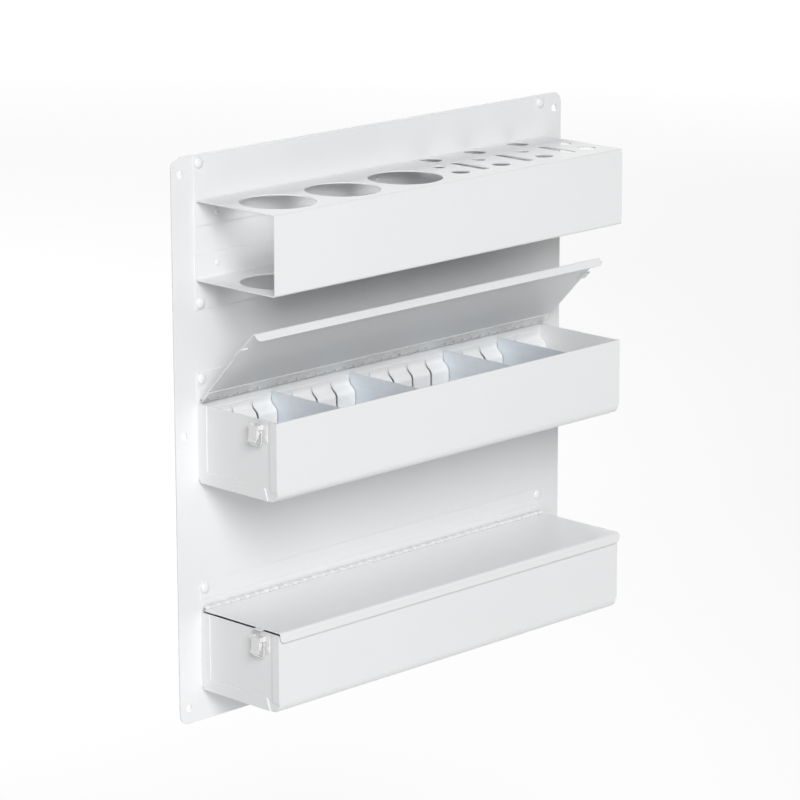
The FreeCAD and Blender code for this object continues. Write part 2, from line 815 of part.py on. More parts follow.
def save_bin(name, bottom, angle):
    """Every piece of one bin."""
    ends = (("left", -1), ("right", 1))
    save(name + "_tray", make_tray(bottom))
    save(name + "_bolts", unit_bolts(bin_bolt_places(bottom)))
    save(name + "_back_rail", make_rail(bottom, back_inner, -1))
    save(name + "_front_rail", make_rail(bottom, front_inner, 1))
    for number, slot in enumerate(divider_slots, 1):
        save(name + "_divider_" + str(number), make_divider(bottom, slot))
    save(name + "_hinge_fixed_leaf", make_fixed_leaf(bottom))
    save(name + "_hinge_pin", make_hinge_pin(bottom))
    save(name + "_hinge_moving_leaf", opened(make_moving_leaf(bottom), bottom, angle))
    save(name + "_lid", opened(make_lid(bottom), bottom, angle))
    save(name + "_keepers", [opened(make_keeper(bottom, side), bottom, angle)
                             for word, side in ends])
    save(name + "_latch_pins", [make_latch_pin(bottom, side) for word, side in ends])
    save(name + "_latch_rivets", make_latch_rivets(bottom, -1) + make_latch_rivets(bottom, 1))
    for word, side in ends:
        save(name + "_" + word + "_end_plate", make_end_plate(bottom, side))
        save(name + "_" + word + "_latch_base", make_latch_base(bottom, side))
        save(name + "_" + word + "_lever", make_lever(bottom, side))
        save(name + "_" + word + "_bail", make_bail(bottom, side))


os.makedirs("parts", exist_ok=True)
save("back_panel", make_panel())
save("holder_back_plate", make_holder_plate())
save("holder_channel", make_holder_channel())
save("holder_rivets", make_holder_rivets())
save("holder_bolts", unit_bolts(holder_bolt_places()))
save_bin("mid_bin", mid_bin_bottom, lid_rest_angle)
save_bin("lower_bin", lower_bin_bottom, 0.0)
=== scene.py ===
import json
import logging
import math
from dataclasses import dataclass, field
from enum import Enum
from functools import cached_property

import bmesh
import bpy
from mathutils import Matrix, Vector

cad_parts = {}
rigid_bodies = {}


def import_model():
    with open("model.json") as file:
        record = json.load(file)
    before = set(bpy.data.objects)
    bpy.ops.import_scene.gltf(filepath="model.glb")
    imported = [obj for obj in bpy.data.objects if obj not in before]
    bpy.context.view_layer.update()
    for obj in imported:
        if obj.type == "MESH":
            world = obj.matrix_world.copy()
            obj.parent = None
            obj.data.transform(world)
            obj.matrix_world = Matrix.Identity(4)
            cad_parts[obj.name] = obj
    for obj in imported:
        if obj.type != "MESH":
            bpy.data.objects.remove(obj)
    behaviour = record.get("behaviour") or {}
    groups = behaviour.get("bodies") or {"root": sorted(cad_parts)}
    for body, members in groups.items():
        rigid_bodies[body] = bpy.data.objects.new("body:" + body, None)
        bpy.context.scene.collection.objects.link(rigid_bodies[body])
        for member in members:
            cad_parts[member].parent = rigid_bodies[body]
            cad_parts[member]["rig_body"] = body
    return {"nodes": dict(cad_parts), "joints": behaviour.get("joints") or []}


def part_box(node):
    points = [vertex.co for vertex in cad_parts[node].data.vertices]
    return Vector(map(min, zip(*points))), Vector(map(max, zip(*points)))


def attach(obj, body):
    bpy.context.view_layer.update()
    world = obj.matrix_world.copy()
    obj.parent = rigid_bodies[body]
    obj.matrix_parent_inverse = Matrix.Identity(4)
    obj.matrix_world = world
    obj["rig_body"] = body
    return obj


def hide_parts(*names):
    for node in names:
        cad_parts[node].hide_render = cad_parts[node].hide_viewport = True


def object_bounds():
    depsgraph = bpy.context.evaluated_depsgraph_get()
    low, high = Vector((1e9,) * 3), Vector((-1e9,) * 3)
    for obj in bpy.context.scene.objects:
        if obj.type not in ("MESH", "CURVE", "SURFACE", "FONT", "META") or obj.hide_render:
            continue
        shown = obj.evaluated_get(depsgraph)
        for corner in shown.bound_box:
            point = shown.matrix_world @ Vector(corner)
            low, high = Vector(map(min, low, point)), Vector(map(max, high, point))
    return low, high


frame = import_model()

# Van door organizer: a white steel back panel with a perforated can and tool holder on
# top and two lidded parts bins below it. Metres, +Z up, the front looks along -Y.

CAD_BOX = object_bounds()
MM = 0.001
WELD_DISTANCE = 0.002 * MM  # mesh corners nearer than this are one corner
TINY = 1e-12  # keeps the normal of a face without area from vanishing
Colour = tuple[float, float, float, float]
Profile = list[tuple[float, float]]
log = logging.getLogger("organizer")


class Slot(Enum):
    """Material slots of the record that the pieces take their finish from."""

    PAINT = "panel_paint"
    DIVIDER = "divider_zinc"
    HINGE = "hinge_paint"
    PIN = "pin_steel"
    LATCH = "latch_steel"
    WIRE = "latch_wire"


class End(Enum):
    """The two ends of a bin."""

    LEFT = "left"
    RIGHT = "right"


class Wall(Enum):
    """The two long walls of a bin, by the sign along Y of the way into the bin."""

    BACK = -1
    FRONT = 1


class Facing(Enum):
    """Which way the heads of a group of fasteners look."""

    FRONT = "to the front"
    ENDS = "away from the middle, at both ends"


class ShaderBench:
    """Node tree of a material or of the world, with short calls for what they share."""

    BEVEL_SAMPLES = 4
    EDGE_DOT = 0.8
    FLAT_DOT = 0.99

    def __init__(self, owner: bpy.types.Material | bpy.types.World) -> None:
        """Start with an empty tree.

        Args:
            owner: The material or world that the tree belongs to.
        """
        owner.use_nodes = True
        self.owner = owner
        self.tree = owner.node_tree
        self.tree.nodes.clear()

    @cached_property
    def place(self) -> bpy.types.NodeSocket:
        """Socket with the place in the object's own space."""
        return self.add("ShaderNodeTexCoord").outputs["Object"]

    def add(
        self, kind: str, settings: dict[str, object] | None = None, **inputs: object
    ) -> bpy.types.Node:
        """Add a node, set its inputs and link what is a socket.

        Args:
            kind: Blender's name of the node.
            settings: Properties of the node itself.
            inputs: Values or sockets by input name, with _ for a space.

        Returns:
            The new node.
        """
        node = self.tree.nodes.new(kind)
        for key, value in (settings or {}).items():
            setattr(node, key, value)
        for key, value in inputs.items():
            self.feed(node.inputs[key.replace("_", " ")], value)
        return node

    def feed(self, socket: bpy.types.NodeSocket, value: object) -> None:
        """Link a socket to another socket, or give it a plain value.

        Args:
            socket: The input to feed.
            value: What it gets.
        """
        if isinstance(value, bpy.types.NodeSocket):
            self.tree.links.new(value, socket)
        else:
            socket.default_value = value

    def reckon(self, kind: str, operation: str, *values: object) -> bpy.types.Node:
        """Add a node that reckons with values or sockets, in their order.

        Args:
            kind: Blender's name of the node.
            operation: Blender's name of the operation.
            values: What it reckons with.

        Returns:
            The new node.
        """
        node = self.add(kind, {"operation": operation})
        for socket, value in zip(node.inputs, values):
            self.feed(socket, value)
        return node

    def noise(
        self,
        scale: float,
        detail: float = 3.0,
        stretch: tuple[float, float, float] | None = None,
    ) -> bpy.types.NodeSocket:
        """Soft noise from 0 to 1 in the object's own space.

        Args:
            scale: Waves per metre.
            detail: Octaves of finer noise.
            stretch: Scale along each axis, for brushed or drawn surfaces.

        Returns:
            The noise value's socket.
        """
        place = self.place
        if stretch is not None:
            place = self.add("ShaderNodeMapping", Vector=place, Scale=stretch).outputs["Vector"]
        node = self.add("ShaderNodeTexNoise", Vector=place, Scale=scale, Detail=detail)
        return node.outputs["Fac"]

    def remap(
        self,
        value: bpy.types.NodeSocket,
        low: float,
        high: float,
        start: float = 0.0,
        end: float = 1.0,
    ) -> bpy.types.NodeSocket:
        """Bring a value from one range to another, with a soft start and end.

        Args:
            value: The socket to remap.
            low: Result at the start.
            high: Result at the end.
            start: Value that gives low.
            end: Value that gives high.

        Returns:
            The remapped value's socket.
        """
        node = self.add("ShaderNodeMapRange", {"interpolation_type": "SMOOTHSTEP"},
                        Value=value, To_Min=low, To_Max=high, From_Min=start, From_Max=end)
        return node.outputs["Result"]

    def blend(
        self,
        share: bpy.types.NodeSocket,
        one: Colour | bpy.types.NodeSocket,
        other: Colour | bpy.types.NodeSocket,
    ) -> bpy.types.NodeSocket:
        """Mix two colours.

        Args:
            share: Share of the other colour, from 0 to 1.
            one: Colour or socket at 0.
            other: Colour or socket at 1.

        Returns:
            The mixed colour's socket.
        """
        node = self.add("ShaderNodeMix", {"data_type": "RGBA"})
        sockets = [socket for socket in node.inputs if socket.enabled]
        for socket, value in zip(sockets, (share, one, other)):
            self.feed(socket, value)
        return next(socket for socket in node.outputs if socket.enabled)

    def edges(self, reach: float) -> bpy.types.NodeSocket:
        """How near a point is to an outer or inner edge of its piece.

        Args:
            reach: Reach of the edge in metres.

        Returns:
            A socket with 0 on flat faces and 1 on edges.
        """
        bent = self.add("ShaderNodeBevel", {"samples": self.BEVEL_SAMPLES}, Radius=reach)
        true = self.add("ShaderNodeNewGeometry")
        dot = self.reckon("ShaderNodeVectorMath", "DOT_PRODUCT",
                          bent.outputs["Normal"], true.outputs["Normal"])
        return self.remap(dot.outputs["Value"], 1.0, 0.0, self.EDGE_DOT, self.FLAT_DOT)

    def bump(
        self, height: bpy.types.NodeSocket, depth: float, strength: float
    ) -> bpy.types.NodeSocket:
        """Surface relief from a height.

        Args:
            height: Height from 0 to 1.
            depth: Depth of the relief in metres.
            strength: How far the relief turns the light.

        Returns:
            The bent normal's socket.
        """
        node = self.add("ShaderNodeBump", Height=height, Distance=depth, Strength=strength)
        return node.outputs["Normal"]

    def seen_directly(self) -> bpy.types.NodeSocket:
        """Which rays should see plain white: camera, mirror and glass rays.

        Returns:
            A socket with 1 for such rays and 0 for all others.
        """
        path = self.add("ShaderNodeLightPath")
        share = path.outputs["Is Camera Ray"]
        for ray in ("Is Glossy Ray", "Is Transmission Ray"):
            node = self.reckon("ShaderNodeMath", "MAXIMUM", share, path.outputs[ray])
            share = node.outputs["Value"]
        return share

    def finish(self, **inputs: object) -> bpy.types.Material:
        """Close a material's tree with the surface shader.

        Args:
            inputs: Inputs of the surface shader, as for add.

        Returns:
            The finished material.
        """
        shader = self.add("ShaderNodeBsdfPrincipled", **inputs)
        self.add("ShaderNodeOutputMaterial", Surface=shader.outputs["BSDF"])
        return self.owner


def grey(level: float, warm: float = 0.0) -> Colour:
    """A grey colour, linear, with a little warmth.

    Args:
        level: Brightness from 0 to 1.
        warm: Added to red and taken from blue.

    Returns:
        The colour with full opacity.
    """
    return level + warm, level, level - warm, 1.0


@dataclass(frozen=True)
class PowderPaint:
    """White powder coat on steel sheet: fine orange peel, a soft gloss, darker along the edges:
    a thin coat on the outer edges and painted shade in the inner creases.
    """

    name: str
    level: float = 0.83
    warm: float = -0.007
    mottle: float = 0.014
    mottle_warm: float = 0.001
    mottle_scale: float = 5.0
    mottle_detail: float = 1.5
    peel_scale: float = 420.0
    peel_depth: float = 0.00005
    peel_strength: float = 0.25
    smear_scale: float = 11.0
    detail: float = 2.0
    rough_low: float = 0.29
    rough_high: float = 0.37
    edge_reach: float = 0.0005
    edge_share: float = 0.6
    # Drop in level along every edge: a thin coat on the outer edges, painted shade in the inner
    # creases.
    thin_coat_and_crease_shade: float = 0.05
    edge_warm: float = 0.004

    def build(self) -> bpy.types.Material:
        """Mix the paint.

        Returns:
            The material.
        """
        bench = ShaderBench(bpy.data.materials.new(self.name))
        cloud = bench.noise(self.mottle_scale, self.mottle_detail)
        dark = grey(self.level - self.mottle, self.warm + self.mottle_warm)
        light = grey(self.level + self.mottle, self.warm)
        body = bench.blend(bench.remap(cloud, 0.0, 1.0), dark, light)
        # Painted shade: the edge mask takes inner creases as well as outer edges, so this
        # darker band is a thin coat on the outer edges and painted shade in the inner creases.
        edge = bench.remap(bench.edges(self.edge_reach), 0.0, self.edge_share)
        colour = bench.blend(edge, body, grey(self.level - self.thin_coat_and_crease_shade, self.edge_warm))
        peel = bench.noise(self.peel_scale, self.detail)
        smear = bench.noise(self.smear_scale, self.detail)
        return bench.finish(
            Base_Color=colour,
            Roughness=bench.remap(smear, self.rough_low, self.rough_high),
            Normal=bench.bump(peel, self.peel_depth, self.peel_strength),
        )


@dataclass(frozen=True)
class ZincSheet:
    """Galvanised sheet: cool grey crystals and faint rolling streaks."""

    name: str
    dark: Colour = (0.68, 0.73, 0.78, 1.0)
    light: Colour = (0.79, 0.84, 0.89, 1.0)
    metal: float = 0.35
    crystal_scale: float = 150.0
    crystal_share: float = 0.35
    streak_scale: float = 60.0
    streak_detail: float = 4.0
    streak_stretch: tuple[float, float, float] = (1.0, 0.12, 3.0)
    streak_shares: tuple[float, float] = (0.1, 0.6)
    streak_depth: float = 0.00003
    streak_strength: float = 0.2
    rough_low: float = 0.32
    rough_high: float = 0.46
    edge_reach: float = 0.0005
    edge_level: float = 0.80

    def build(self) -> bpy.types.Material:
        """Grow the crystals and draw the streaks.

        Returns:
            The material.
        """
        bench = ShaderBench(bpy.data.materials.new(self.name))
        cell = bench.add("ShaderNodeTexVoronoi", Vector=bench.place,
                         Scale=self.crystal_scale, Randomness=1.0)
        tone = bench.add("ShaderNodeRGBToBW", Color=cell.outputs["Color"]).outputs["Val"]
        streak = bench.noise(self.streak_scale, self.streak_detail, self.streak_stretch)
        mixed = bench.reckon("ShaderNodeMath", "MULTIPLY_ADD", tone, self.crystal_share,
                             bench.remap(streak, *self.streak_shares))
        colour = bench.blend(mixed.outputs["Value"], self.dark, self.light)
        return bench.finish(
            Base_Color=bench.blend(bench.edges(self.edge_reach), colour, grey(self.edge_level)),
            Metallic=self.metal,
            Roughness=bench.remap(tone, self.rough_low, self.rough_high),
            Normal=bench.bump(streak, self.streak_depth, self.streak_strength),
        )


@dataclass(frozen=True)
class PlatedSteel:
    """Bright zinc plating on small steel parts and wire."""

    name: str
    level: float = 0.70
    metal: float = 0.9
    rough: float = 0.24
    rough_below: float = 0.06
    rough_above: float = 0.08
    grain_scale: float = 500.0
    grain_stretch: tuple[float, float, float] = (1.0, 1.0, 0.3)
    grain_depth: float = 0.00002
    grain_strength: float = 0.2
    stain_scale: float = 90.0
    stain_drop: float = 0.08
    stain_warm: float = 0.008
    clean_gain: float = 0.04
    edge_reach: float = 0.0003
    edge_gain: float = 0.15

    def build(self) -> bpy.types.Material:
        """Plate the steel.

        Returns:
            The material.
        """
        bench = ShaderBench(bpy.data.materials.new(self.name))
        grain = bench.noise(self.grain_scale, stretch=self.grain_stretch)
        stain = bench.remap(bench.noise(self.stain_scale), 0.0, 1.0)
        body = bench.blend(stain, grey(self.level - self.stain_drop, self.stain_warm),
                           grey(self.level + self.clean_gain))
        edge = bench.edges(self.edge_reach)
        return bench.finish(
            Base_Color=bench.blend(edge, body, grey(self.level + self.edge_gain)),
            Metallic=self.metal,
            Roughness=bench.remap(grain, self.rough - self.rough_below,
                                  self.rough + self.rough_above),
            Normal=bench.bump(grain, self.grain_depth, self.grain_strength),
        )


class Finishes:
    """One material for each slot of the record."""

    def __init__(self) -> None:
        """Mix every finish once."""
        self.by_slot = {
            Slot.PAINT: PowderPaint("white_powder_coat").build(),
            Slot.DIVIDER: ZincSheet("galvanised_divider").build(),
            # The hinge and latch paints drop further along their edges: a thin coat on the
            # outer edges, painted shade in the inner creases and gaps.
            Slot.HINGE: PowderPaint("painted_hinge", level=0.82, edge_reach=0.0004,
                                    thin_coat_and_crease_shade=0.12).build(),
            Slot.PIN: PlatedSteel("hinge_pin_steel", level=0.45, rough=0.3).build(),
            Slot.LATCH: PowderPaint("painted_latch", level=0.80, warm=0.003, mottle=0.02,
                                    peel_depth=0.00003, thin_coat_and_crease_shade=0.2).build(),
            Slot.WIRE: PlatedSteel("plated_wire", level=0.74, rough=0.2).build(),
        }
        self.bare_hinge = PlatedSteel("bare_hinge", level=0.84, rough=0.40, metal=0.55).build()

    def dress(self, piece: bpy.types.Object, slot: Slot) -> None:
        """Give a piece its finish.

        Args:
            piece: The piece to dress.
            slot: The record's slot.
        """
        piece.data.materials.clear()
        piece.data.materials.append(self.by_slot[slot])


def cad_object(node: str) -> bpy.types.Object:
    """Find a CAD node.

    Args:
        node: Its name.

    Returns:
        Its object in the frame.
    """
    return frame["nodes"][node]


def set_up(name: str, data: bpy.types.ID) -> bpy.types.Object:
    """Make an object of a mesh, a lamp or a camera and put it in the scene.

    Args:
        name: Name of the object.
        data: What it shows.

    Returns:
        The object.
    """
    thing = bpy.data.objects.new(name, data)
    bpy.context.scene.collection.objects.link(thing)
    return thing


def smooth(mesh: bpy.types.Mesh, angle: float = 50.0) -> None:
    """Shade a mesh so that broad faces stay flat and the narrow ones beside them turn.

    Args:
        mesh: The mesh.
        angle: Sharpest smooth edge in degrees.
    """
    work = bmesh.new()
    work.from_mesh(mesh)
    limit = math.cos(math.radians(angle))
    areas = {face: face.calc_area() for face in work.faces}
    normals = []
    for face in work.faces:
        for vert in face.verts:
            near = [f for f in vert.link_faces if f.normal.dot(face.normal) > limit]
            turn = sum((f.normal * areas[f] for f in near), face.normal * TINY)
            normals.append(turn.normalized())
    work.free()
    mesh.shade_smooth()
    mesh.normals_split_custom_set(normals)


@dataclass
class Workshop:
    """Makes pieces that stand for CAD nodes, dresses them and reports them."""

    finishes: Finishes
    edge_break: float = 0.30 * MM
    edge_steps: int = 2
    flat_angle: float = 1.0
    sharp_angle: float = 40.0

    def place(
        self, name: str, mesh: bpy.types.Mesh, slot: Slot, *nodes: str
    ) -> bpy.types.Object:
        """Put a new piece in the place of CAD nodes of one body.

        Args:
            name: Name of the piece.
            mesh: Its mesh.
            slot: Its finish.
            nodes: The nodes that it stands for.

        Returns:
            The piece.
        """
        smooth(mesh)
        piece = set_up(name, mesh)
        self.finishes.dress(piece, slot)
        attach(piece, cad_object(nodes[0])["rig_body"])
        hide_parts(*nodes)
        log.info("%s stands for %s", name, ", ".join(nodes))
        return piece

    def keep(self, node: str, slot: Slot) -> None:
        """Dress a CAD node that already has its right shape.

        Args:
            node: The node.
            slot: Its finish.
        """
        piece = cad_object(node)
        self.finishes.dress(piece, slot)
        smooth(piece.data)
        log.info("%s keeps its shape", node)

    def eased(self, node: str, slot: Slot, width: float | None = None) -> None:
        """Copy a CAD node and ease all its sharp edges, as paint and tumbling leave them.

        Args:
            node: The node to copy.
            slot: Its finish.
            width: Width of the eased edge, or None for the usual one.
        """
        name = node + "_eased"
        mesh = cad_object(node).data.copy()
        mesh.name = name
        work = bmesh.new()
        work.from_mesh(mesh)
        bmesh.ops.remove_doubles(work, verts=work.verts, dist=WELD_DISTANCE)
        bmesh.ops.dissolve_limit(work, angle_limit=math.radians(self.flat_angle),
                                 verts=work.verts, edges=work.edges, delimit={"NORMAL"})
        limit = math.radians(self.sharp_angle)
        sharp = [edge for edge in work.edges
                 if len(edge.link_faces) == 2 and edge.calc_face_angle(0.0) > limit]
        bmesh.ops.bevel(work, geom=sharp, offset=width or self.edge_break,
                        offset_type="OFFSET", segments=self.edge_steps, profile=0.5,
                        affect="EDGES", clamp_overlap=True)
        work.to_mesh(mesh)
        work.free()
        self.place(name, mesh, slot, node)

    def solid(
        self, name: str, work: bmesh.types.BMesh, slot: Slot, *nodes: str
    ) -> bpy.types.Object:
        """Turn an edited mesh into a piece that stands for CAD nodes.

        Args:
            name: Name of the piece.
            work: Its mesh, which is used up.
            slot: Its finish.
            nodes: The nodes that it stands for.

        Returns:
            The piece.
        """
        bmesh.ops.recalc_face_normals(work, faces=work.faces)
        mesh = bpy.data.meshes.new(name)
        work.to_mesh(mesh)
        work.free()
        return self.place(name, mesh, slot, *nodes)


def turned(
    work: bmesh.types.BMesh, profile: Profile, place: Vector, direction: Vector, sides: int
) -> None:
    """Add a turned solid to a mesh.

    Args:
        work: The mesh.
        profile: Radius and height of each ring, in millimetres. A radius of 0 is a point.
        place: Where height 0 lies.
        direction: The turning axis.
        sides: Flat sides all round.
    """
    turn = direction.to_track_quat("Z", "Y").to_matrix()
    rings = []
    for radius, height in profile:
        count = sides if radius > 0 else 1
        ring = []
        for step in range(count):
            angle = 2 * math.pi * step / count
            flat = Vector((math.cos(angle) * radius, math.sin(angle) * radius, height)) * MM
            ring.append(work.verts.new(place + turn @ flat))
        rings.append(ring)
    for low, high in zip(rings, rings[1:]):
        for step in range(sides):
            corners = [low[step % len(low)], low[(step + 1) % len(low)],
                       high[(step + 1) % len(high)], high[step % len(high)]]
            unique = list(dict.fromkeys(corners))
            if len(unique) > 2:
                work.faces.new(unique)
    for ring in (rings[0], rings[-1]):
        if len(ring) > 1:
            work.faces.new(ring)


def centres(node: str) -> list[Vector]:
    """Middle of each loose solid of a CAD node.

    Args:
        node: A node that groups separate solids.

    Returns:
        The middles of the solids' boxes, in the order of the mesh.
    """
    work = bmesh.new()
    work.from_mesh(cad_object(node).data)
    bmesh.ops.remove_doubles(work, verts=work.verts, dist=WELD_DISTANCE)
    seen = set()
    found = []
    for start in work.verts:
        if start in seen:
            continue
        seen.add(start)
        shell = [start]
        for reached in shell:
            for edge in reached.link_edges:
                for vert in edge.verts:
                    if vert not in seen:
                        seen.add(vert)
                        shell.append(vert)
        low = Vector([min(v.co[axis] for v in shell) for axis in range(3)])
        high = Vector([max(v.co[axis] for v in shell) for axis in range(3)])
        found.append((low + high) / 2)
    work.free()
    return found


@dataclass
class FoldedSheet:
    """A sheet cut in strips and curled along a section: one clean closed mesh."""

    along: list[float]
    inner: list[tuple[float, float]]
    outer: list[tuple[float, float]]
    corners: dict[tuple[int, int, int], bmesh.types.BMVert] = field(default_factory=dict)

    def corner(
        self, work: bmesh.types.BMesh, i: int, j: int, side: int
    ) -> bmesh.types.BMVert:
        """Make a corner of the mesh, or find it where it is made already.

        Args:
            work: The mesh.
            i: Station along X.
            j: Point of the section.
            side: 0 for the inner face and 1 for the outer one.

        Returns:
            The corner.
        """
        key = (i, j, side)
        if key not in self.corners:
            y, z = (self.inner, self.outer)[side][j]
            self.corners[key] = work.verts.new(Vector((self.along[i], y, z)))
        return self.corners[key]

    def build(self, cells: list[tuple[int, int]]) -> bmesh.types.BMesh:
        """Join the cells that the sheet has.

        Args:
            cells: The cells, by station and section point, that are metal.

        Returns:
            The mesh.
        """
        work = bmesh.new()
        self.corners.clear()
        metal = set(cells)
        for i, j in cells:
            loop = [(i, j), (i + 1, j), (i + 1, j + 1), (i, j + 1)]
            work.faces.new([self.corner(work, a, b, 0) for a, b in loop])
            work.faces.new([self.corner(work, a, b, 1) for a, b in reversed(loop)])
            walls = (((i, j - 1), (i, j), (i + 1, j)),
                     ((i + 1, j), (i + 1, j), (i + 1, j + 1)),
                     ((i, j + 1), (i + 1, j + 1), (i, j + 1)),
                     ((i - 1, j), (i, j + 1), (i, j)))
            for neighbour, one, two in walls:
                if neighbour not in metal:
                    work.faces.new([self.corner(work, *one, 0), self.corner(work, *two, 0),
                                    self.corner(work, *two, 1), self.corner(work, *one, 1)])
        return work


@dataclass
class SlottedRail:
    """Pressed rail on a long wall of a bin, with the slots that hold the dividers."""

    shop: Workshop
    bin_name: str
    wall: Wall
    sheet: float = 0.9 * MM
    top_flange: float = 7.0 * MM
    slant: float = 6.4 * MM
    bottom_flange: float = 4.5 * MM
    bend: float = 8.0 * MM
    bend_steps: int = 6
    slot_pitch: float = 26.0 * MM
    slot_count: int = 16
    slot_width: float = 2.6 * MM

    def room_side(self, low: Vector, high: Vector) -> list[Vector]:
        """Section of the face that looks into the bin.

        Args:
            low: Lowest corner of the CAD rail.
            high: Highest corner of the CAD rail.

        Returns:
            Points with their place along Y and Z, from the top down.
        """
        inward = self.wall.value
        wall, face = (low.y, high.y) if inward > 0 else (high.y, low.y)
        foot = wall + inward * self.sheet
        upper = high.z - self.top_flange
        lower = low.z + self.bottom_flange
        corners = [Vector((foot, high.z)), Vector((foot, upper)),
                   Vector((face, upper - self.slant)), Vector((face, lower + self.slant)),
                   Vector((foot, lower)), Vector((foot, low.z))]
        line = [corners[0]]
        for before, at, after in zip(corners, corners[1:], corners[2:]):
            line += self.bent(before, at, after)
        return line + [corners[-1]]

    def bent(self, before: Vector, at: Vector, after: Vector) -> list[Vector]:
        """Round one corner of the section.

        Args:
            before: The corner before it.
            at: The corner.
            after: The corner after it.

        Returns:
            Points along the bend.
        """
        back = (before - at).normalized()
        ahead = (after - at).normalized()
        turn = math.pi - back.angle(ahead)
        reach = self.bend * math.tan(turn / 2)
        centre = at + (back + ahead).normalized() * self.bend / math.cos(turn / 2)
        start = at + back * reach - centre
        end = at + ahead * reach - centre
        points = []
        for step in range(self.bend_steps + 1):
            share = step / self.bend_steps
            points.append(centre + (start * math.sin((1 - share) * turn)
                                    + end * math.sin(share * turn)) / math.sin(turn))
        return points

    def build(self) -> None:
        """Press the rail, cut its slots and paint it."""
        node = f"{self.bin_name}_{self.wall.name.lower()}_rail"
        low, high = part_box(node)
        outer = self.room_side(low, high)
        inner = []
        for index, point in enumerate(outer):
            along = outer[min(index + 1, len(outer) - 1)] - outer[max(index - 1, 0)]
            aside = Vector((along.y, -along.x)).normalized() * self.wall.value
            inner.append(point + aside * self.sheet)
        stations = [low.x]
        for step in range(self.slot_count):
            x = (step - (self.slot_count - 1) / 2) * self.slot_pitch
            stations += [x - self.slot_width / 2, x + self.slot_width / 2]
        stations.append(high.x)
        # Every second strip is a slot, which stops short of the rail's upper and lower rim.
        rims = (0, len(outer) - 2)
        cells = [(i, j) for i in range(len(stations) - 1) for j in range(len(outer) - 1)
                 if i % 2 == 0 or j in rims]
        work = FoldedSheet(stations, inner, outer).build(cells)
        self.shop.solid(node + "_pressed", work, Slot.PAINT, node)


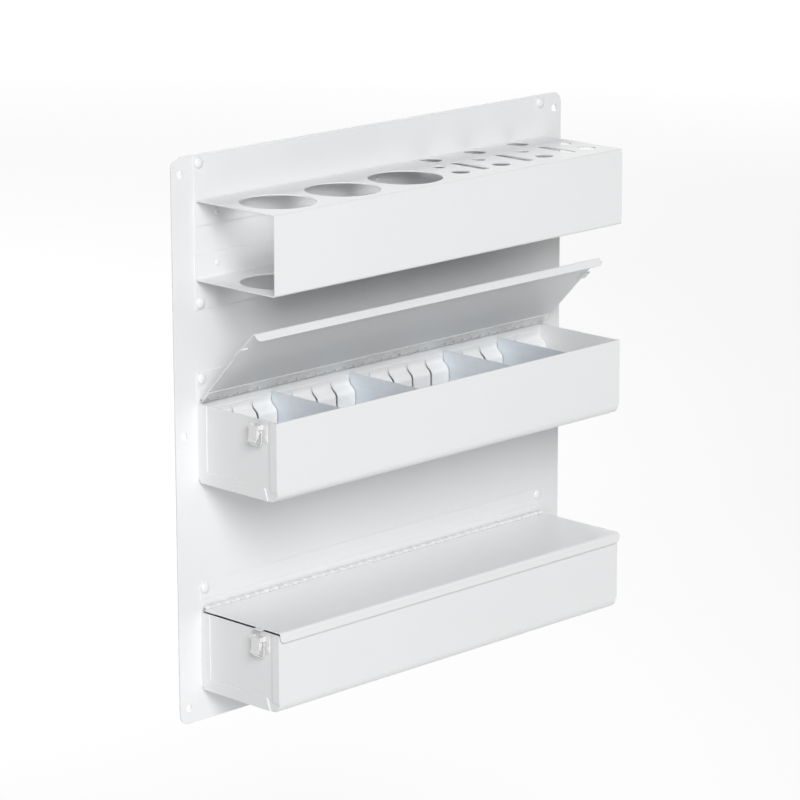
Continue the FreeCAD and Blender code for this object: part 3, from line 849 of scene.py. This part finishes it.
@dataclass
class PianoHinge:
    """Continuous hinge of one bin: two leaves with curled knuckles and their pin."""

    shop: Workshop
    bin_name: str
    knuckle_count: int = 74
    knuckle_gap: float = 0.6 * MM
    barrel: float = 2.35 * MM
    leaf: float = 0.88 * MM
    curl_steps: int = 14
    curl_turn: float = 285.0
    relief: float = 1.2 * MM
    lid_leaf: float = 14.0 * MM
    mark_pitch: float = 26.0 * MM
    mark_share: float = 0.6
    mark_sunk: float = 0.3 * MM
    mark_sides: int = 12
    mark_profile: tuple[tuple[float, float], ...] = (
        (0.0, -3.6), (0.45, -3.4), (0.6, -2.8), (0.6, 2.8), (0.45, 3.4), (0.0, 3.6))

    def joint(self) -> dict:
        """Find the lid's joint.

        Returns:
            The joint as the frame gives it.
        """
        name = self.bin_name.replace("_bin", "_lid") + "_hinge"
        return next(joint for joint in frame["joints"] if joint["name"] == name)

    def section(self, reach: float, joggle: float) -> tuple[Profile, Profile]:
        """Section of a leaf that lies flat under the axis and curls round it.

        Args:
            reach: Distance from the axis to the leaf's free edge.
            joggle: How far the flat lies out beyond the barrel.

        Returns:
            Inner points and outer points. The first two are the flat, the others the curl.
        """
        flat = [-reach, -self.barrel - self.relief]
        outer = [(y, -self.barrel - joggle) for y in flat]
        inner = [(y, -self.barrel - joggle + self.leaf) for y in flat]
        for step in range(self.curl_steps + 1):
            angle = math.radians(-90 + self.curl_turn * step / self.curl_steps)
            across = math.cos(angle)
            up = math.sin(angle)
            outer.append((across * self.barrel, up * self.barrel))
            inner.append((across * (self.barrel - self.leaf), up * (self.barrel - self.leaf)))
        return inner, outer

    def leaf_mesh(
        self, reach: float, joggle: float, first: int, low: float, high: float
    ) -> bmesh.types.BMesh:
        """One leaf, flat under the axis, with every second knuckle.

        Args:
            reach: Distance from the axis to the free edge.
            joggle: How far the flat lies out beyond the barrel.
            first: 0 or 1, the leaf's first knuckle.
            low: Left end along X.
            high: Right end along X.

        Returns:
            The leaf's mesh about the axis.
        """
        pitch = (high - low) / self.knuckle_count
        stations = [low]
        for index in range(self.knuckle_count):
            stations += [low + index * pitch + self.knuckle_gap / 2,
                         low + (index + 1) * pitch - self.knuckle_gap / 2]
        stations.append(high)
        knuckles = {2 * index + 1 for index in range(first, self.knuckle_count, 2)}
        inner, outer = self.section(reach, joggle)
        cells = [(i, j) for i in range(len(stations) - 1) for j in range(len(inner) - 1)
                 if j == 0 or i in knuckles]
        return FoldedSheet(stations, inner, outer).build(cells)

    def weld_marks(self, work: bmesh.types.BMesh, low: float, high: float) -> None:
        """Short weld beads across the lid's leaf.

        Args:
            work: The leaf's mesh about the axis.
            low: Left end along X.
            high: Right end along X.
        """
        count = int((high - low) / self.mark_pitch)
        middle = (low + high) / 2
        for index in range(count):
            x = middle + (index - (count - 1) / 2) * self.mark_pitch
            place = Vector((x, -self.lid_leaf * self.mark_share, -self.barrel + self.mark_sunk))
            turned(work, list(self.mark_profile), place, Vector((0, 1, 0)), self.mark_sides)

    def build(self) -> None:
        """Make and dress both leaves and the pin."""
        joint = self.joint()
        axis = Vector(joint["pos_m"])
        stem = self.bin_name + "_hinge_"
        fixed = stem + "fixed_leaf"
        low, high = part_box(fixed)
        work = self.leaf_mesh(high.z - axis.z, high.y - axis.y - self.barrel, 0, low.x, high.x)
        # Stands the leaf up: its flat rises above the axis, close to the wall.
        on_wall = Matrix(((1, 0, 0, 0), (0, 0, -1, 0), (0, -1, 0, 0), (0, 0, 0, 1)))
        bmesh.ops.transform(work, matrix=Matrix.Translation(axis) @ on_wall, verts=work.verts)
        self.shop.solid(stem + "wall_leaf", work, Slot.HINGE, fixed)
        work = self.leaf_mesh(self.lid_leaf, 0.0, 1, low.x, high.x)
        self.weld_marks(work, low.x, high.x)
        # The low limit closes the lid, so it tells how far the lid stands open at rest.
        opened = Matrix.Rotation(math.radians(joint["range_deg"][0]), 4, "X")
        bmesh.ops.transform(work, matrix=Matrix.Translation(axis) @ opened, verts=work.verts)
        leaf = self.shop.solid(stem + "lid_leaf", work, Slot.HINGE, stem + "moving_leaf")
        leaf.data.materials[0] = self.shop.finishes.bare_hinge
        self.shop.keep(stem + "pin", Slot.PIN)


@dataclass(frozen=True)
class Head:
    """Domed head of a bolt or rivet and its shank. Lengths are in millimetres."""

    radius: float
    height: float
    pierced: bool = False
    sides: int = 28
    dome_steps: int = 7
    shank_share: float = 0.55
    rim_share: float = 0.97
    rim_rise: float = 0.12
    hole_radius: float = 0.95
    hole_floor_radius: float = 0.85
    hole_floor_share: float = 0.55
    hole_point_share: float = 0.5

    def profile(self, depth: float) -> Profile:
        """Outline whose rim rolls down to the sheet, with a blind rivet's hole if pierced.

        Args:
            depth: How far the shank goes back.

        Returns:
            Radius and height of each ring.
        """
        shank = self.radius * self.shank_share
        rings = [(shank, -depth), (shank, 0.0), (self.radius * self.rim_share, 0.0)]
        for step in range(self.dome_steps):
            angle = math.pi / 2 * step / self.dome_steps
            rise = self.rim_rise + (1 - self.rim_rise) * math.sin(angle)
            rings.append((self.radius * math.cos(angle), self.height * rise))
        if not self.pierced:
            return rings + [(0.0, self.height)]
        return rings[:-1] + [(self.hole_radius, self.height),
                             (self.hole_floor_radius, self.height * self.hole_floor_share),
                             (0.0, self.height * self.hole_point_share)]


PANEL_BOLT = Head(radius=5.25, height=2.8)
BLIND_RIVET = Head(radius=3.35, height=1.3, pierced=True)
LATCH_RIVET = Head(radius=1.7, height=0.7, sides=20)


@dataclass
class Fasteners:
    """Domed bolts and rivets, turned round at the places of the CAD ones."""

    shop: Workshop

    def group(self, node: str, head: Head, facing: Facing, slot: Slot) -> None:
        """Turn one group of like fasteners.

        Args:
            node: The CAD node of the group.
            head: Their shape.
            facing: Which way the heads look.
            slot: Their finish.
        """
        work = bmesh.new()
        for middle in centres(node):
            direction = Vector((0, -1, 0))
            if facing is Facing.ENDS:
                direction = Vector((math.copysign(1.0, middle.x), 0, 0))
            low, high = self.span(node, middle, facing)
            seat = middle - direction * middle.dot(direction)
            seat += direction * (high - head.height * MM)
            profile = head.profile((high - low) / MM - head.height)
            turned(work, profile, seat, direction, head.sides)
        self.shop.solid(node + "_turned", work, slot, node)

    def span(self, node: str, middle: Vector, facing: Facing) -> tuple[float, float]:
        """Lowest and highest place of one fastener along its axis.

        Args:
            node: The CAD node of the group.
            middle: The middle of the fastener.
            facing: Which way its head looks.

        Returns:
            The two places, measured outwards.
        """
        low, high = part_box(node)
        if facing is Facing.FRONT:
            return -high.y, -low.y
        half = max(abs(low.x), abs(high.x))
        return 2 * abs(middle.x) - half, half


@dataclass
class BackPanel:
    """The flat panel that everything hangs on."""

    shop: Workshop

    def build(self) -> None:
        """Ease its edges and paint it."""
        self.shop.eased("back_panel", Slot.PAINT)


@dataclass
class CanToolHolder:
    """Perforated channel on its back plate, with its rivets and bolts."""

    shop: Workshop

    def build(self) -> None:
        """Make and dress every piece of the holder."""
        self.shop.eased("holder_back_plate", Slot.PAINT)
        self.shop.eased("holder_channel", Slot.PAINT)
        fasteners = Fasteners(self.shop)
        fasteners.group("holder_rivets", BLIND_RIVET, Facing.FRONT, Slot.PAINT)
        fasteners.group("holder_bolts", PANEL_BOLT, Facing.FRONT, Slot.PAINT)


@dataclass
class DrawLatch:
    """Wire draw latch at one end of a bin."""

    shop: Workshop
    bin_name: str
    end: End
    wire: float = 0.8 * MM
    wire_sides: int = 14
    lower_bend: float = 2.4 * MM
    upper_bend: float = 0.88 * MM
    bend_steps: int = 5
    pivot_reach: float = 3.3 * MM
    edge_break: float = 0.15 * MM

    def route(self, low: Vector, high: Vector) -> list[Vector]:
        """Centre line of the wire, with round corners.

        Args:
            low: Lowest corner of the CAD bail.
            high: Highest corner of the CAD bail.

        Returns:
            The points of the line.
        """
        x = (low.x + high.x) / 2
        middle = (low.y + high.y) / 2
        leg = (high.y - low.y) / 2 - self.wire
        top = high.z - self.wire
        half = [(leg - self.pivot_reach, top)]
        half += self.corner(leg, top, True) + self.corner(leg, low.z + self.wire, False)
        flat = half + [(-across, up) for across, up in reversed(half)]
        return [Vector((x, middle + across, up)) for across, up in flat]

    def corner(self, leg: float, level: float, upper: bool) -> Profile:
        """Points of one round corner of the wire.

        Args:
            leg: Where the leg stands.
            level: Where the pivot end or the crossbar lies.
            upper: Whether it is the corner at the pivot end.

        Returns:
            Points from the higher to the lower end of the corner.
        """
        bend = self.upper_bend if upper else self.lower_bend
        points = []
        for step in range(self.bend_steps + 1):
            angle = math.pi / 2 * step / self.bend_steps
            if upper:
                across, up = math.sin(angle) - 1, math.cos(angle) - 1
            else:
                across, up = math.cos(angle) - 1, 1 - math.sin(angle)
            points.append((leg + bend * across, level + bend * up))
        return points

    def wire_mesh(self, points: list[Vector]) -> bmesh.types.BMesh:
        """Round wire along a flat line.

        Args:
            points: The centre line, in a plane across X.

        Returns:
            The mesh.
        """
        work = bmesh.new()
        side = Vector((1, 0, 0))
        rings = []
        for index, point in enumerate(points):
            before = points[max(index - 1, 0)]
            after = points[min(index + 1, len(points) - 1)]
            lift = (after - before).normalized().cross(side)
            ring = []
            for step in range(self.wire_sides):
                angle = 2 * math.pi * step / self.wire_sides
                outward = side * math.cos(angle) + lift * math.sin(angle)
                ring.append(work.verts.new(point + outward * self.wire))
            rings.append(ring)
        for one, two in zip(rings, rings[1:]):
            for step in range(self.wire_sides):
                after = (step + 1) % self.wire_sides
                work.faces.new([one[step], one[after], two[after], two[step]])
        work.faces.new(rings[0])
        work.faces.new(rings[-1])
        return work

    def build(self) -> None:
        """Make and dress the latch's plate, lever and wire."""
        stem = f"{self.bin_name}_{self.end.value}_"
        self.shop.eased(stem + "latch_base", Slot.LATCH, self.edge_break)
        self.shop.eased(stem + "lever", Slot.LATCH, self.edge_break)
        bail = stem + "bail"
        work = self.wire_mesh(self.route(*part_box(bail)))
        self.shop.solid(bail + "_wire", work, Slot.WIRE, bail)


@dataclass
class PartsBin:
    """One bin with its lid: tray, ends, rails, dividers, hinge and latches."""

    shop: Workshop
    name: str
    divider_count: int = 4
    divider_edge: float = 0.2 * MM
    keeper_edge: float = 0.12 * MM
    pin_radius: float = 1.0
    pin_chamfer: float = 0.2
    pin_sides: int = 24

    def build(self) -> None:
        """Make and dress every piece of the bin."""
        shop = self.shop
        for part in ("tray", "left_end_plate", "right_end_plate", "lid"):
            shop.eased(f"{self.name}_{part}", Slot.PAINT)
        for wall in Wall:
            SlottedRail(shop, self.name, wall).build()
        for index in range(1, self.divider_count + 1):
            shop.eased(f"{self.name}_divider_{index}", Slot.DIVIDER, self.divider_edge)
        shop.eased(self.name + "_keepers", Slot.PAINT, self.keeper_edge)
        fasteners = Fasteners(shop)
        fasteners.group(self.name + "_bolts", PANEL_BOLT, Facing.FRONT, Slot.PAINT)
        fasteners.group(self.name + "_latch_rivets", LATCH_RIVET, Facing.ENDS, Slot.LATCH)
        self.latch_pins()
        PianoHinge(shop, self.name).build()
        for end in End:
            DrawLatch(shop, self.name, end).build()

    def latch_pins(self) -> None:
        """Round pivot pins of both levers, with a small chamfer at each end."""
        node = self.name + "_latch_pins"
        low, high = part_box(node)
        half = (high.y - low.y) / 2 / MM
        tip = self.pin_radius - self.pin_chamfer
        profile = [(tip, -half), (self.pin_radius, self.pin_chamfer - half),
                   (self.pin_radius, half - self.pin_chamfer), (tip, half)]
        work = bmesh.new()
        for middle in centres(node):
            turned(work, profile, middle, Vector((0, 1, 0)), self.pin_sides)
        self.shop.solid(node + "_turned", work, Slot.LATCH, node)


@dataclass(frozen=True)
class Lamp:
    """Soft square lamp that looks at the organizer. Metres and watts."""

    name: str
    place: tuple[float, float, float]
    power: float
    size: float = 3.0

    def build(self) -> None:
        """Hang the lamp."""
        data = bpy.data.lights.new(self.name, "AREA")
        data.shape = "SQUARE"
        data.size = self.size
        data.energy = self.power
        lamp = set_up(self.name, data)
        lamp.location = self.place
        lamp.rotation_euler = (-Vector(self.place)).to_track_quat("-Z", "Y").to_euler()


@dataclass
class Studio:
    """Plain pale floor, soft light and the camera at the photograph's place."""

    camera_place: tuple[float, float, float] = (-2.4791, -2.4982, 0.8820)
    yaw: float = 45.082
    pitch: float = 14.477
    roll: float = -0.151
    focal_pixels: float = 3707.2
    centre_pixel: tuple[float, float] = (394.8, 425.0)
    image_pixels: float = 800.0
    sensor: float = 36.0
    sight: float = 100.0
    sky: float = 0.2
    floor_below: float = 0.9
    floor_size: float = 40.0
    floor_levels: tuple[float, float] = (0.80, 0.82)
    floor_cloud_scale: float = 0.8
    floor_cloud_detail: float = 2.0
    floor_glow: tuple[float, float] = (0.30, 0.97)
    floor_glow_reach: tuple[float, float] = (3.0, 13.0)
    lamps: tuple[Lamp, ...] = (Lamp("key_lamp", (-3.2, -4.8, 3.2), 350.0),
                               Lamp("rear_lamp", (1.5, 5.0, 4.2), 260.0))

    def camera(self) -> None:
        """Set up the camera."""
        data = bpy.data.cameras.new("camera")
        data.sensor_width = self.sensor
        data.lens = self.focal_pixels / self.image_pixels * self.sensor
        half = self.image_pixels / 2
        data.shift_x = (half - self.centre_pixel[0]) / self.image_pixels
        data.shift_y = (self.centre_pixel[1] - half) / self.image_pixels
        data.clip_end = self.sight
        camera = set_up("camera", data)
        turn = (Matrix.Rotation(math.radians(-self.yaw), 4, "Z")
                @ Matrix.Rotation(math.radians(90 - self.pitch), 4, "X")
                @ Matrix.Rotation(math.radians(self.roll), 4, "Z"))
        camera.matrix_world = Matrix.Translation(Vector(self.camera_place)) @ turn
        bpy.context.scene.camera = camera

    def world(self) -> None:
        """White surroundings for the eye, and a plain level of light from all round."""
        world = bpy.data.worlds.new("surroundings")
        bpy.context.scene.world = world
        bench = ShaderBench(world)
        level = bench.add("ShaderNodeMapRange", Value=bench.seen_directly(),
                          To_Min=self.sky, To_Max=1.0)
        light = bench.add("ShaderNodeBackground", Color=grey(1.0),
                          Strength=level.outputs["Result"])
        bench.add("ShaderNodeOutputWorld", Surface=light.outputs["Background"])

    def floor_finish(self) -> bpy.types.Material:
        """Pale floor that keeps the shadow near by and turns white far away.

        Returns:
            The material.
        """
        bench = ShaderBench(bpy.data.materials.new("pale_floor"))
        cloud = bench.noise(self.floor_cloud_scale, self.floor_cloud_detail)
        dark, light = (grey(level) for level in self.floor_levels)
        colour = bench.blend(bench.remap(cloud, 0.0, 1.0), dark, light)
        diffuse = bench.add("ShaderNodeBsdfDiffuse", Color=colour)
        away = bench.reckon("ShaderNodeVectorMath", "LENGTH", bench.place)
        lift = bench.remap(away.outputs["Value"], *self.floor_glow, *self.floor_glow_reach)
        seen = bench.reckon("ShaderNodeMath", "MULTIPLY", lift, bench.seen_directly())
        glow = bench.add("ShaderNodeEmission", Color=grey(1.0), Strength=seen.outputs["Value"])
        both = bench.add("ShaderNodeAddShader")
        bench.feed(both.inputs[0], diffuse.outputs["BSDF"])
        bench.feed(both.inputs[1], glow.outputs["Emission"])
        bench.add("ShaderNodeOutputMaterial", Surface=both.outputs["Shader"])
        return bench.owner

    def floor(self) -> None:
        """Wide floor well below the wall-hung organizer."""
        level = CAD_BOX[0][2] - self.floor_below
        half = self.floor_size / 2
        work = bmesh.new()
        corners = ((-half, -half), (half, -half), (half, half), (-half, half))
        work.faces.new([work.verts.new((x, y, level)) for x, y in corners])
        mesh = bpy.data.meshes.new("floor")
        work.to_mesh(mesh)
        work.free()
        mesh.materials.append(self.floor_finish())
        set_up("floor", mesh)

    def build(self) -> None:
        """Set up everything round the organizer."""
        bpy.context.scene.view_settings.view_transform = "Standard"
        self.camera()
        self.world()
        self.floor()
        for lamp in self.lamps:
            lamp.build()


def main() -> None:
    """Build the organizer's looks piece by piece."""
    logging.basicConfig(level=logging.INFO, format="%(name)s: %(message)s")
    shop = Workshop(Finishes())
    Studio().build()
    BackPanel(shop).build()
    CanToolHolder(shop).build()
    for name in ("mid_bin", "lower_bin"):
        PartsBin(shop, name).build()


if __name__ == "__main__":
    main()
